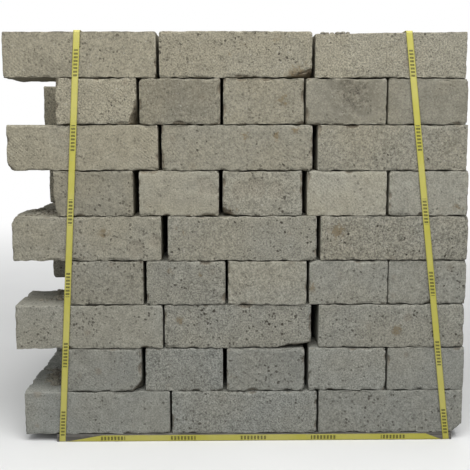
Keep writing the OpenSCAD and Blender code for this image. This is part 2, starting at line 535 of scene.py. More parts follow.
def stone_numbers(placed, block, number, rng):
    """What a block's material reads: tone, warmth, pores and stains.

    The tone is a random part, a rise with the height that paints shade on the lower courses, a swell in the
    middle courses and what the kind of stone adds. The warmth is a random part, a rise with the height and a
    drift to the left.
    """
    spread, rise, swell = 0.6, 0.5, 2.4
    warm_spread, warm_rise, even_height = 0.09, 1.7, 0.42
    drift, even_x, least_porous = 0.6, 0.25, 0.35
    height = (number - 1) / (TOP_COURSE - 1)
    pores, paler = stone_kind(block, number)
    # Painted shade: the rise of the tone with the height makes the lower courses darker
    tone = rng.normal(0, spread) + rise * (height - 0.5) + swell * height * (1 - height) + paler
    warm = rng.normal(0, warm_spread) + warm_rise * (height - even_height)
    porous = min(1.0, pores * rng.uniform(least_porous, 1.0))
    leftwards = drift * in_range("drift", height) * (even_x - placed[:, 0])
    size = len(placed)
    return {
        "tone": np.full(size, tone),
        "warmth": warm + leftwards,
        "porous": np.full(size, porous),
        "pores": np.full(size, pores * (0.62 + 0.5 * porous)),
        "ochre": spot_strength(placed, OCHRE_SPOTS, block),
        "soot": spot_strength(placed, SOOT_SPOTS, block),
    }


def weathered_block(block, number, looks, rng):
    """One block's points, quads and attributes, worn from its sawn box and laid in its place.

    In order: rounded arrises, the fall of the top, uneven beds, a slow wave in the sawn faces, the
    broken corner as a rough plane, shell-shaped chips along the arrises that show, flaked places and a
    fine tooth. Every step moves points inwards, so that the block stays in its solid.
    """
    top = number == TOP_COURSE
    lines, seen = block_grid(block, top)
    skin, quads = box_skin(lines)
    half = block["half"]
    inside = half - np.abs(skin)
    shift = rng.uniform(-SHIFT_REACH, SHIFT_REACH, 3)
    lost = skin + shift
    radius = arris_radius(lost, inside, looks.arris, rng.uniform(*BLUNT))
    points, outward = worn_box(skin, half, radius)
    # Closeness to a rounded arris: the mask of the painted highlight along the arrises
    arris = in_range("arris", np.abs(outward).max(axis=1))

    if top and block["row"] == 0:
        points[:, 2] -= top_fall(skin / half, block["place"])
    points[:, 2] -= bed_wear(skin, inside, shift, looks.bed_gap, top)
    ease = relief_share(outward, inside, seen)
    wave = wear_noise("wave", lost) * in_range("calm", wear_noise("calm", lost))
    points -= outward * (looks.wave * wave * ease)[:, None]

    gone = np.zeros(len(points))
    if block["broken"]:
        points, gone = broken_off(points, block["broken"], lost)
    chips = rng.integers(looks.chips // 2, looks.chips + 1)
    for centre, reach in chip_balls(block, seen, rng, chips, looks.chip_depth):
        points, depth = bitten(points, centre, reach)
        gone = np.maximum(gone, in_range("chip", depth))
    flake = flaked(laid(points, block), outward, lost, block)
    points[:, 1] += looks.flake * flake
    gone = np.maximum(gone, FLAKE_FRESH * flake)
    tooth = wear_noise("tooth", lost) * (looks.tooth + gone * BREAK_TOOTH)
    points -= outward * (tooth * ease)[:, None]

    placed = laid(points, block)
    attributes = stone_numbers(placed, block, number, rng)
    attributes.update(broken=gone, arris=arris, shift=np.tile(shift, (len(placed), 1)))
    return placed, quads, attributes


# ---- materials


class Chart:
    """A material's nodes: each call adds one, with numbers or other nodes' outputs for its inputs."""

    def __init__(self, name):
        self.material = bpy.data.materials.new(name)
        self.material.use_nodes = True
        self.tree = self.material.node_tree
        self.shader = self.tree.nodes["Principled BSDF"]

    def feed(self, socket, value):
        if isinstance(value, bpy.types.NodeSocket):
            self.tree.links.new(value, socket)
        elif socket.type == "RGBA" and len(value) == 3:
            socket.default_value = (*value, 1)
        else:
            socket.default_value = value

    def add(self, kind, inputs, **settings):
        node = self.tree.nodes.new("ShaderNode" + kind)
        for key, value in settings.items():
            setattr(node, key, value)
        for key, value in inputs.items():
            self.feed(node.inputs[key], value)
        return node

    def math(self, operation, *values):
        return self.add("Math", dict(enumerate(values)), operation=operation).outputs[0]

    def times(self, value, *others):
        for other in others:
            value = self.math("MULTIPLY", value, other)
        return value

    def line(self, value, slope, start):
        """A straight line: the value times a slope, from a start."""
        return self.math("MULTIPLY_ADD", value, slope, start)

    def in_share(self, value, pitch, share):
        """1 in the first share of every pitch and 0 in the rest."""
        return self.math("LESS_THAN", self.math("FRACT", self.math("DIVIDE", value, pitch)), share)

    def remap(self, value, low, high, to_low=0.0, to_high=1.0):
        inputs = {"Value": value, "From Min": low, "From Max": high, "To Min": to_low, "To Max": to_high}
        return self.add("MapRange", inputs, interpolation_type="SMOOTHSTEP").outputs[0]

    def mix(self, share, first, second, blend="MIX"):
        node = self.add("Mix", {0: share, 6: first, 7: second}, data_type="RGBA", blend_type=blend)
        return node.outputs[2]

    def noise(self, place, scale, detail=2.0, rough=0.5):
        inputs = {"Vector": place, "Scale": scale, "Detail": detail, "Roughness": rough}
        return self.add("TexNoise", inputs).outputs[0]

    def number(self, label):
        return self.add("Attribute", {}, attribute_name=label).outputs["Fac"]

    def object_place(self):
        return self.add("TexCoord", {}).outputs["Object"]

    def grains(self, place, scale, rarest, widest, soft, faintest):
        """Spots, one to a cell: only cells whose own number is over rarest have one, up to widest.

        A second number of the cell makes its spot as weak as faintest or as strong as 1.
        """
        cells = self.add("TexVoronoi", {"Vector": place, "Scale": scale})
        own = self.add("SeparateColor", {0: cells.outputs["Color"]}).outputs
        inner = self.math("SUBTRACT", self.remap(own[0], rarest, 1.0, 0.0, widest), soft)
        off = self.math("SUBTRACT", cells.outputs["Distance"], inner)
        return self.times(self.remap(off, 0.0, soft, 1.0, 0.0), self.remap(own[1], 0.0, 1.0, faintest, 1.0))

    def finish(self, colour, roughness, height, depth, strength):
        self.feed(self.shader.inputs["Base Color"], colour)
        self.feed(self.shader.inputs["Roughness"], roughness)
        bump = self.add("Bump", {"Height": height, "Distance": depth, "Strength": strength})
        self.feed(self.shader.inputs["Normal"], bump.outputs[0])
        return self.material


# Way across the saw marks in a face, the distance from one mark to the next, and how far they sway
SAW_WAY = (0.66, 0.30, 0.69)
SAW_PITCH = 6.5 * MM
SAW_SWAY = 30.0

# Ripples that bend the spots in the stone: lumps to the metre and reach
RIPPLES, RIPPLE_REACH = 75.0, 11 * MM

# Spots in the stone: cells to the metre, share of the cells without one, widest, softness and weakest
STONE_SPOTS = {
    "pores": (122.0, 0.16, 0.47, 0.12, 0.25),
    "pits": (44.0, 0.66, 0.18, 0.06, 0.4),
    "pricks": (200.0, 0.10, 0.46, 0.18, 0.2),
    "pumice": (150.0, 0.5, 0.42, 0.16, 0.3),
    "clasts": (21.0, 0.66, 0.32, 0.16, 0.3),
}

# Clouds in the stone: lumps to the metre, detail and roughness
STONE_CLOUDS = {
    "cloud": (6.0, 3.0, 0.5),
    "mottle": (42.0, 4.0, 0.62),
    "grain": (250.0, 3.0, 0.7),
    "gather": (13.0, 2.0, 0.5),
    "blotch": (95.0, 4.0, 0.65),
    "sway": (7.0, 2.0, 0.5),
    "sawn": (5.0, 2.0, 0.5),
}

# Ranges of the clouds: where the value starts and stops to count, and what it counts there
STONE_RANGES = {
    "gather": (0.35, 0.62, 0.25, 1.0),
    "sawn": (0.48, 0.66, 0.0, 1.0),
    "warmth": (0.3, 0.7, 0.38, 0.62),
    "speckle": (0.34, 0.66, -0.34, 0.33),
    "mottle": (0.25, 0.75, 0.88, 1.10),
    "ochre": (1.55, 2.1, 0.0, 1.0),
    "ochre_grain": (0.36, 0.64, 0.4, 0.95),
    "soot_blotch": (0.38, 0.58, 0.15, 1.0),
    "soot_grain": (0.36, 0.64, 0.2, 1.0),
    "painted_arris_highlight": (0.35, 0.65, 0.0, 0.22),
    "roughness": (0.2, 0.8, 0.86, 1.0),
}

# Strength of each tint in the stone, and height of each part of its relief
STONE_TINTS = {"clasts": 0.34, "pumice": 0.55, "broken": 0.45, "pricks": 0.55, "pits": 0.9, "holes": 0.86}
STONE_RELIEF = {"mottle": 0.6, "grain": 0.5, "saw": 0.10, "pricks": -0.35, "holes": -1.2, "broken": 1.2}

# How much a porous block is coarser and the least, and what warmth, tone, saw marks and ochre count
COARSER, LEAST_COARSE = 0.85, 0.3
WARMTH_COUNTS, TONE_COUNTS, SAW_COUNTS, OCHRE_COUNTS = 0.46, 0.11, 0.03, 2.4

# Shine of the stone, and depth and strength of its relief
STONE_SHINE, STONE_DEPTH, STONE_BUMP = 0.22, 1.6 * MM, 0.75


def tuff_stone(looks):
    """Sawn tuff: beige to grey, speckled, with pores, pale pumice, brown clasts, stains and fresh breaks.

    A tone from the clouds and the saw marks, then one tint over the other, from the clasts to the holes. The
    pale along the arrises is a painted highlight, and the dark in the pores, pits and pricks is painted
    shade.
    """
    chart = Chart("sawn_tuff")
    shift = chart.add("Attribute", {}, attribute_name="shift").outputs["Vector"]
    place = chart.add("VectorMath", {0: chart.object_place(), 1: shift}).outputs[0]
    ripple = chart.add("TexNoise", {"Vector": place, "Scale": RIPPLES, "Detail": 3.0}).outputs["Color"]
    bend = {0: ripple, 1: (RIPPLE_REACH,) * 3, 2: place}
    bent = chart.add("VectorMath", bend, operation="MULTIPLY_ADD").outputs[0]
    cloud = {label: chart.noise(place, *values) for label, values in STONE_CLOUDS.items()}
    spots = {label: chart.grains(bent, *values) for label, values in STONE_SPOTS.items()}
    broken, porous = chart.number("broken"), chart.number("porous")
    grain, mottle, blotch = cloud["grain"], cloud["mottle"], cloud["blotch"]

    def ranged(value, label):
        return chart.remap(value, *STONE_RANGES[label])

    def tinted(value, label):
        return chart.times(value, STONE_TINTS[label])

    gathered = chart.times(ranged(cloud["gather"], "gather"), chart.number("pores"))
    holes = chart.math("MAXIMUM", chart.times(spots["pores"], gathered), tinted(spots["pits"], "pits"))
    coarse = chart.line(porous, COARSER, LEAST_COARSE)
    across = chart.add("VectorMath", {0: place, 1: SAW_WAY}, operation="DOT_PRODUCT").outputs["Value"]
    sway = chart.times(cloud["sway"], SAW_SWAY)
    saw = chart.math("SINE", chart.line(across, 2 * math.pi / SAW_PITCH, sway))
    saw = chart.times(saw, ranged(cloud["sawn"], "sawn"), chart.math("SUBTRACT", 1.0, broken))

    warmth = chart.line(chart.number("warmth"), WARMTH_COUNTS, ranged(cloud["cloud"], "warmth"))
    colour = chart.mix(warmth, looks.cool_stone, looks.warm_stone)
    level = chart.times(
        chart.line(chart.number("tone"), TONE_COUNTS, 1.0),
        ranged(mottle, "mottle"),
        chart.line(ranged(grain, "speckle"), coarse, 1.0),
        chart.line(saw, SAW_COUNTS, 1.0),
    )
    level = chart.add("CombineColor", {0: level, 1: level, 2: level}).outputs[0]
    colour = chart.mix(1.0, colour, level, "MULTIPLY")

    stained = ranged(chart.line(blotch, OCHRE_COUNTS, chart.number("ochre")), "ochre")
    sooty = chart.times(chart.number("soot"), ranged(blotch, "soot_blotch"))
    for share, tint in (
        (tinted(spots["clasts"], "clasts"), looks.clast),
        (chart.times(tinted(spots["pumice"], "pumice"), coarse), looks.pumice),
        (chart.times(stained, ranged(grain, "ochre_grain")), looks.ochre),
        (chart.times(sooty, ranged(grain, "soot_grain")), looks.pore_shade_and_soot),
        # Painted highlight: the pumice colour laid pale along the rounded arrises, where light catches them
        (chart.times(chart.number("arris"), ranged(mottle, "painted_arris_highlight")), looks.pumice),
        (tinted(broken, "broken"), looks.clast),
        # Painted shade: pricks, pores and pits are darkened to the pore colour, for the shade inside the
        # holes
        (chart.times(tinted(spots["pricks"], "pricks"), coarse), looks.pore_shade_and_soot),
        (tinted(holes, "holes"), looks.pore_shade_and_soot),
    ):
        colour = chart.mix(share, colour, tint)

    parts = {"mottle": mottle, "grain": grain, "saw": saw, "pricks": spots["pricks"], "holes": holes}
    parts["broken"] = chart.times(broken, mottle)
    height = 0.0
    for label, part in parts.items():
        height = chart.line(part, STONE_RELIEF[label], height)
    chart.shader.inputs["Specular IOR Level"].default_value = STONE_SHINE
    return chart.finish(colour, ranged(grain, "roughness"), height, STONE_DEPTH, STONE_BUMP)


# Band: step from bar to bar, share of it that is bar, half a bar as a share of the width, and pressed ribs
BAR_STEP, BAR_THICK, BAR_HALF = 8.5 * MM, 0.6, 0.31
RIB_PITCH, RIBS_ACROSS, RIB_DEPTH = 2.4 * MM, 7, 0.12 * MM

# Strength of the painted shade along the edges, the ink and the ribs
EDGE_SHADE_SHARE, INK_SHARE, RIB_BUMP = 0.6, 0.95, 0.6

# Clouds on the band and their ranges, as in the stone
BAND_CLOUDS = {"worn": (700.0, 3.0, 0.7), "fade": (9.0, 3.0, 0.5), "dirt": (120.0, 4.0, 0.65)}
BAND_RANGES = {
    "worn": (0.35, 0.6, 0.5, 1.0),
    "fade": (0.3, 0.7, 0.0, 1.0),
    "dirt": (0.55, 0.8, 0.0, 0.35),
    "edge": (0.34, 0.5, 0.0, 1.0),
    "roughness": (0.0, 0.35, 0.38, 0.62),
}


def printed_band(looks):
    """Satin polypropylene band: fine pressed ribs, rows of plain dark bars, darker towards its edges."""
    chart = Chart("yellow_band")
    sheet = chart.add("UVMap", {}, uv_map="band").outputs[0]
    parts = chart.add("SeparateXYZ", {0: sheet})
    along, across = parts.outputs[0], parts.outputs[1]
    place = chart.object_place()
    off_middle = chart.math("ABSOLUTE", chart.math("SUBTRACT", across, 0.5))
    print_on = chart.times(
        chart.in_share(along, looks.bar_pitch, looks.bar_share),
        chart.in_share(along, BAR_STEP, BAR_THICK),
        chart.math("LESS_THAN", off_middle, BAR_HALF),
    )
    cloud = {}
    for label, values in BAND_CLOUDS.items():
        cloud[label] = chart.remap(chart.noise(place, *values), *BAND_RANGES[label])
    edge = chart.remap(off_middle, *BAND_RANGES["edge"])
    colour = chart.mix(cloud["fade"], looks.yellow, looks.faded)
    # Painted shade: the band darkens towards both edges, for its curve and the shadow at its sides
    colour = chart.mix(chart.times(edge, EDGE_SHADE_SHARE), colour, looks.edge)
    colour = chart.mix(chart.times(print_on, cloud["worn"], INK_SHARE), colour, looks.ink)
    colour = chart.mix(cloud["dirt"], colour, looks.dust)
    rib = chart.math("SINE", chart.times(along, 2 * math.pi / RIB_PITCH))
    rib_across = chart.math("SINE", chart.times(across, 2 * math.pi * RIBS_ACROSS))
    roughness = chart.remap(cloud["dirt"], *BAND_RANGES["roughness"])
    return chart.finish(colour, roughness, chart.times(rib, rib_across), RIB_DEPTH, RIB_BUMP)


# Board: stretch of the grain, thickness of a layer and the share of it that is glue line
BOARD_STRETCH, LAYER, GLUE_SHARE = (5.0, 60.0, 420.0), 3.0 * MM, 0.16


def grey_board(looks):
    """Weathered board: thin layers, grain along X with dark checks, and stone dust in patches."""
    chart = Chart("weathered_board")
    place = chart.object_place()
    long = chart.add("Mapping", {"Vector": place, "Scale": BOARD_STRETCH}).outputs[0]
    grain = chart.noise(long, 1.0, 4.0, 0.6)
    height = chart.add("SeparateXYZ", {0: place}).outputs[2]
    wave = chart.line(chart.noise(place, 20.0), 0.35, chart.math("DIVIDE", height, LAYER))
    layer = chart.math("LESS_THAN", chart.math("FRACT", wave), GLUE_SHARE)
    dust = chart.remap(chart.noise(place, 30.0, 4.0, 0.6), 0.5, 0.7, 0.0, 0.5)
    colour = chart.mix(chart.remap(grain, 0.3, 0.7), looks.board_dark, looks.board)
    colour = chart.mix(chart.times(layer, 0.5), colour, looks.board_dark)
    colour = chart.mix(dust, colour, looks.board_dust)
    relief = chart.line(layer, -0.6, grain)
    roughness = chart.remap(grain, 0.2, 0.8, 0.8, 0.95)
    return chart.finish(colour, roughness, relief, 0.8 * MM, 0.7)


# Distances from the middle where the floor starts to fade to white and is white
FLOOR_FADE = (0.9, 5.0)
WHITE = (1.0, 1.0, 1.0, 1.0)


def pale_floor(looks):
    """Plain pale floor, faintly clouded: it fades to white far off and gives little light back."""
    chart = Chart("pale_floor")
    place = chart.object_place()
    cloud = chart.noise(place, 1.5, 3.0)
    seen = chart.add("LightPath", {}).outputs["Is Camera Ray"]
    paler = tuple(min(1.0, value * 1.04) for value in looks.floor)
    dull = tuple(value * looks.floor_bounce for value in looks.floor)
    colour = chart.mix(chart.remap(cloud, 0.3, 0.7), tuple(looks.floor), paler)
    colour = chart.mix(seen, dull, colour)
    chart.finish(colour, 0.9, cloud, 0.2 * MM, 0.1)
    far = chart.add("VectorMath", {0: place}, operation="LENGTH").outputs["Value"]
    fade = chart.times(seen, chart.remap(far, *FLOOR_FADE))
    glow = chart.add("Emission", {"Color": WHITE, "Strength": 1.0}).outputs[0]
    both = chart.add("MixShader", {0: fade, 1: chart.shader.outputs[0], 2: glow}).outputs[0]
    chart.feed(chart.tree.nodes["Material Output"].inputs[0], both)
    return chart.material


# ---- straps


# Strap: bends at the top and the foot, step along, where the lean starts and ends, and slack
TOP_BEND, FOOT_BEND, STRAP_STEP = 6 * MM, 1 * MM, 14 * MM
LEAN_FOOT, LEAN_TOP = 2 * MM, 7 * MM
STRAP_SLACK = 0.25 * MM
BEND_POINTS, BAND_POINTS, BAND_EASE = 9, 9, 0.3

# Foot strap: grid lines along its left end, middle and right end, and across
FOOT_COLUMNS, FOOT_ROWS = (14, 70, 10), 13

# Corners of a quad between two rings, as rings and points further on, one way round and the other
RIGHT_TURN = ((0, 0), (0, 1), (1, 1), (1, 0))
LEFT_TURN = ((0, 0), (1, 0), (1, 1), (0, 1))


def tube(rings, along, across, steps, closed):
    """Quads and UVs of a tube: each ring is joined to the next, and the last to the first if closed.

    Ring i holds the cross-section at distance along[i]; the UV is distance along and share across.
    """
    count, size = rings.shape[:2]
    i, j = np.meshgrid(np.arange(count if closed else count - 1), np.arange(size), indexing="ij")
    quads = np.stack([((i + a) % count * size + (j + b) % size).ravel() for a, b in steps], axis=1)
    u = np.stack([along[(i + a).ravel()] for a, _ in steps], axis=1)
    v = np.stack([across[(j + b).ravel() % size] for _, b in steps], axis=1)
    return quads, np.stack([u, v], axis=2).reshape(-1, 2)


def strap_course(low, high, thick):
    """The middle line of a strap round the stack in Y and Z, with its outward direction and length.

    Four straight runs and four quarter turns, from the foot of the front up, over, down and back under.
    """
    mid = thick / 2
    corners = (
        (low[1] + mid, high[2] - mid, TOP_BEND + mid, 180),
        (high[1] - mid, high[2] - mid, TOP_BEND + mid, 90),
        (high[1] - mid, low[2] + mid, FOOT_BEND + mid, 0),
        (low[1] + mid, low[2] + mid, FOOT_BEND + mid, -90),
    )
    line, out = [], []
    for y, z, radius, start in corners:
        angle = np.radians(start - np.linspace(0, 90, BEND_POINTS))
        way = np.stack([np.cos(angle), np.sin(angle)], axis=1)
        centre = np.array([y, z]) - radius * np.sign(way.sum(axis=0))
        line.append(centre + radius * way)
        out.append(way)
    path, outward = [], []
    for number in range(4):
        start, end = line[number - 1][-1], line[number][0]
        count = max(2, int(np.linalg.norm(end - start) / STRAP_STEP))
        share = np.linspace(0, 1, count + 1)[1:-1, None]
        path += [start + (end - start) * share, line[number]]
        outward += [np.repeat(out[number][:1], count - 1, axis=0), out[number]]
    path, outward = np.concatenate(path), np.concatenate(outward)
    length = np.linalg.norm(np.diff(path, axis=0, append=path[:1]), axis=1)
    return path, outward, np.concatenate([[0], np.cumsum(length)])


def band_section(width, thick):
    """A band's cross-section: across and out, with its four edges eased, and each point's share across."""
    ease = thick * BAND_EASE
    x, t = width / 2, thick / 2
    inner = np.linspace(-x + ease, x - ease, BAND_POINTS)
    face = np.full(BAND_POINTS, t)
    across = np.concatenate([[-x], inner, [x], [x], inner[::-1], [-x]])
    out = np.concatenate([[t - ease], face, [t - ease], [ease - t], -face, [ease - t]])
    return across, out, across / width + 0.5


def strap_solid(name):
    """A strap's solid: its points and its lowest and highest corner."""
    points = np.concatenate([solid[0] for solid in solids_of(name)])
    low, high = (np.array(corner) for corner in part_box(name))
    return points, low, high


def upright_strap(name, material, looks):
    """A strap's points: its cross-section carried round the stack, leaning from its foot to its top."""
    points, low, high = strap_solid(name)
    top_x = points[points[:, 2] > high[2] - MM][:, 0]
    foot_x = points[points[:, 2] < low[2] + 0.5 * MM][:, 0]
    thick = looks.band_thickness
    path, outward, along = strap_course(low, high, thick)
    ends = [low[2] + LEAN_FOOT, high[2] - LEAN_TOP]
    lean = np.interp(path[:, 1], ends, [np.mean(foot_x), np.mean(top_x)])
    across, out, share = band_section(np.ptp(top_x), thick)
    rings = np.empty((len(path), len(across), 3))
    rings[:, :, 0] = lean[:, None] + across
    rings[:, :, 1:] = path[:, None] + outward[:, None] * out[None, :, None]
    slow_across = (0.2, 1, 1)
    sag = wear_noise("sag", rings.reshape(-1, 3) * slow_across).reshape(rings.shape[:2])
    rings[:, :, 1:] -= outward[:, None] * (STRAP_SLACK * sag)[:, :, None]
    quads, uv = tube(rings, along, share, RIGHT_TURN, closed=True)
    piece = make_piece(name + "_band", rings.reshape(-1, 3), quads, material, uv=uv)
    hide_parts(name)


def foot_strap(material, looks):
    """The strap along the foot: at each place along X a folded strip, part up the front, the rest under.

    The part in front grows from nothing at each end to the full width, as the strap untwists.
    """
    points, low, high = strap_solid("strap_foot")
    upper = points[points[:, 2] > high[2] - MM][:, 0]
    width, thick = high[2] - low[2], looks.band_thickness
    stops = [low[0], upper.min(), upper.max(), high[0]]
    left, middle, right = (np.linspace(*stops[n:n + 2], count) for n, count in enumerate(FOOT_COLUMNS))
    x = np.concatenate([left, middle[1:-1], right])
    front = np.interp(x, stops, [0, 1, 1, 0]) * width
    share = np.linspace(0, 1, FOOT_ROWS)
    fallen = share * width - front[:, None]
    y = low[1] + np.maximum(fallen, 0)
    z = low[2] + np.maximum(-fallen, 0)
    outer = np.stack([np.broadcast_to(x[:, None], y.shape), y, z], axis=2)
    inner = np.stack([outer[:, :, 0], np.maximum(y, low[1] + thick), np.maximum(z, low[2] + thick)], axis=2)
    rings = np.concatenate([outer, inner[:, ::-1]], axis=1)
    count, size = rings.shape[:2]
    both = np.concatenate([share, share[::-1]])
    quads, uv = tube(rings, x, both, LEFT_TURN, closed=False)
    k = np.arange(size // 2 - 1)
    cap = np.stack([k, k + 1, size - 2 - k, size - 1 - k], axis=1)
    caps = np.concatenate([cap, (count - 1) * size + cap[:, ::-1]])
    cap_uv = np.stack([np.repeat([x[0], x[-1]], len(cap))[:, None] + np.zeros(4), both[caps % size]], axis=2)
    quads, uv = np.concatenate([quads, caps]), np.concatenate([uv, cap_uv.reshape(-1, 2)])
    piece = make_piece("strap_foot_band", rings.reshape(-1, 3), quads, material, uv=uv)
    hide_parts("strap_foot")


# ---- crumbs


# Crumbs: course, front block, reach right of its left end and behind its front and size in millimetres,
# then their number as a share of the setting
CRUMB_HEAPS = (
    (9, 2, (14, 86), (3, 15), (2.0, 5.4), 1.0),
    (5, 0, (95, 15), (25, 185), (2.5, 6.0), 3.0),
    (3, 0, (120, 50), (60, 190), (2.5, 6.0), 2.0),
    (1, 0, (92, 20), (60, 192), (3.0, 10.0), 4.0),
)

# A crumb's grid lines, odds of its place along the heap, rise and sink on the bed, length and height
CRUMB_LINES, HEAP_ODDS = 4, (1.2, 1.8)
CRUMB_RISE, CRUMB_SINK = 0.3, 1.2 * MM
CRUMB_LENGTH, CRUMB_HEIGHT = (1.0, 1.6), 0.8

# Its least radius and the dents' share, reach of the shift of its noises, and middle and spread of its tone
CRUMB_LEAST, CRUMB_DENT, CRUMB_SHIFT = 0.65, 0.6, 9
CRUMB_TONE = (-0.8, 1.6)


def stone_crumbs(material, looks):
    """Loose crumbs on the top and on the ledges: box skins swollen to balls, squashed and dented by noise.

    A point lies at the crumb's middle plus its own three sizes times the ball direction times a dented
    radius.
    """
    rng = np.random.default_rng([looks.seed, looks.crumbs])
    skin, quads = box_skin([np.linspace(-1, 1, CRUMB_LINES)] * 3)
    ball = skin / np.linalg.norm(skin, axis=1)[:, None]
    middles, sizes = [], []
    for course, place, along, behind, grain, share in CRUMB_HEAPS:
        block = [one for one in sorted_blocks(COURSES[course - 1]) if one["row"] == 0][place]
        left, front = (block["middle"] - block["half"])[:2]
        right, _, top = block["middle"] + block["half"]
        count = round(looks.crumbs * share)
        size = rng.uniform(*grain, count) * MM
        x = left + (along[0] + (along[1] - along[0]) * rng.beta(*HEAP_ODDS, count)) * MM
        y = front + rng.uniform(*behind, count) * MM
        if course == TOP_COURSE:
            top = top - np.interp(x, [left, right], np.array(TOP_FALL[place]) * MM)
        middles.append(np.stack([x, y, top + CRUMB_RISE * size - CRUMB_SINK], axis=1))
        sizes.append(np.stack([size * rng.uniform(*CRUMB_LENGTH, count), size, size * CRUMB_HEIGHT], axis=1))
    middles, sizes = np.concatenate(middles), np.concatenate(sizes)
    number, each = len(middles), len(ball)
    lost = np.repeat(rng.uniform(-CRUMB_SHIFT, CRUMB_SHIFT, middles.shape), each, axis=0)
    many = np.tile(ball, (number, 1))
    dent = CRUMB_LEAST + CRUMB_DENT * wear_noise("dent", many + lost)
    points = np.repeat(middles, each, axis=0) + many * np.repeat(sizes, each, axis=0) * dent[:, None]
    points[:, 2] = np.minimum(points[:, 2], CAD_BOX[1][2])
    all_quads = np.concatenate([quads + one * each for one in range(number)])
    attributes = {
        "tone": np.repeat(rng.normal(*CRUMB_TONE, number), each),
        "broken": np.repeat(rng.uniform(0, 1, number), each),
        "porous": np.ones(len(points)),
        "pores": np.ones(len(points)),
        "shift": lost,
    }
    make_piece("stone_crumbs", points, all_quads, material, attributes)


# ---- settings


def colour_setting(name, text, value):
    return FloatVectorProperty(name=name, description=text, default=value, subtype="COLOR", min=0, max=1)


def length_setting(name, text, value):
    return FloatProperty(name=name, description=text, default=value, unit="LENGTH", min=0, precision=4)


def share_setting(name, text, value):
    return FloatProperty(name=name, description=text, default=value, subtype="FACTOR", min=0, max=1)


def angle_setting(name, text, degrees):
    return FloatProperty(name=name, description=text, default=math.radians(degrees), subtype="ANGLE")


class TuffSettings(bpy.types.PropertyGroup):
    """Wear and colours of the blocks."""

    arris: length_setting("Arris", "Usual radius of a worn arris", 3.2 * MM)
    wave: length_setting("Saw wave", "Deepest wave in a sawn face", 2.4 * MM)
    bed_gap: length_setting("Bed gap", "Most that a bed is worn down along the front and back", 2.8 * MM)
    tooth: length_setting("Tooth", "Depth of the fine tooth of a face", 0.9 * MM)
    chip_depth: length_setting("Chip depth", "Deepest chip in an arris", 9 * MM)
    flake: length_setting("Flake", "Depth of a place where the face has flaked", 1.8 * MM)
    chips: IntProperty(name="Chips", description="Most chips on a block that shows", default=34, min=0)
    seed: IntProperty(name="Seed", description="Seed for wear, tone and chips", default=5, min=0)
    crumbs: IntProperty(name="Crumbs", description="Loose crumbs on the top, the measure for the ledges",
                        default=16, min=1)
    warm_stone: colour_setting("Warm stone", "Beige of the dry upper courses", (0.279, 0.256, 0.191))
    cool_stone: colour_setting("Cool stone", "Grey of the lower courses", (0.258, 0.264, 0.240))
    # The pore colour is painted shade inside the pores, pits and pricks, and also the colour of the soot
    # smudges
    pore_shade_and_soot: colour_setting("Pore", "Inside of a pore", (0.055, 0.047, 0.037))
    # The pumice colour also paints the highlight along the arrises
    pumice: colour_setting("Pumice", "Pale pumice grains", (0.46, 0.445, 0.385))
    clast: colour_setting("Clast", "Brown clasts and fresh breaks", (0.19, 0.145, 0.10))
    ochre: colour_setting("Ochre", "Rusty stains", (0.190, 0.143, 0.080))


class BandSettings(bpy.types.PropertyGroup):
    """Size, colours and bars of the straps."""

    band_thickness: length_setting("Thickness", "Thickness of the band", 0.8 * MM)
    bar_pitch: length_setting("Bar pitch", "Distance between two groups of bars", 180 * MM)
    bar_share: share_setting("Bar share", "Share of the pitch with bars", 0.36)
    yellow: colour_setting("Yellow", "Colour of the band", (0.50, 0.46, 0.07))
    faded: colour_setting("Faded yellow", "Band faded by the sun", (0.55, 0.505, 0.135))
    # The edge colour is painted shade along both edges of the band
    edge: colour_setting("Edge", "Duller yellow towards the edges", (0.27, 0.245, 0.045))
    ink: colour_setting("Ink", "Dark bars", (0.045, 0.042, 0.012))
    dust: colour_setting("Dust", "Stone dust on the band", (0.36, 0.34, 0.22))


class BoardSettings(bpy.types.PropertyGroup):
    """Colours of the base panel."""

    board: colour_setting("Board", "Weathered face of the board", (0.20, 0.19, 0.17))
    board_dark: colour_setting("Dark grain", "Grain and checks", (0.075, 0.07, 0.062))
    board_dust: colour_setting("Dust", "Stone dust on the board", (0.27, 0.26, 0.235))


class StageSettings(bpy.types.PropertyGroup):
    """Camera, floor and light."""

    focal: FloatProperty(name="Focal length", description="Lens for a 36 mm sensor", default=61.3, min=1,
                         unit="CAMERA")
    eye: FloatVectorProperty(name="Eye", description="Place of the camera", subtype="TRANSLATION",
                             default=(-0.0485, -2.442, 0.792))
    pitch: angle_setting("Pitch", "Fall of the view below level", 7.55)
    yaw: angle_setting("Yaw", "Turn of the view to the right", 0.99)
    floor: colour_setting("Floor", "Pale floor", (0.80, 0.80, 0.79))
    floor_bounce: share_setting("Floor bounce", "Share of its light that the floor gives back", 0.36)
    room_light: FloatProperty(name="Room light", description="Even light from all round", default=0.50, min=0)


# ---- operators


# Half the floor's width and its grid lines, and the width of the camera's sensor in millimetres
FLOOR_REACH, FLOOR_LINES = 14, 15
SENSOR = 36

# Soft lamps: name, place, aim, size and power
LAMPS = (
    ("sky_panel", (0.1, -1.7, 2.6), (0, -0.4, 0.9), 2.2, 66),
    ("front_panel", (-1.8, -5.2, 3.2), (0, -0.4, 0.8), 3.6, 29),
    ("back_panel", (1.2, 4.0, 3.0), (0, 0.4, 0.7), 3.0, 40),
)

# Colour of the even light from all round
SKY_WHITE = (0.97, 0.985, 1.0, 1.0)


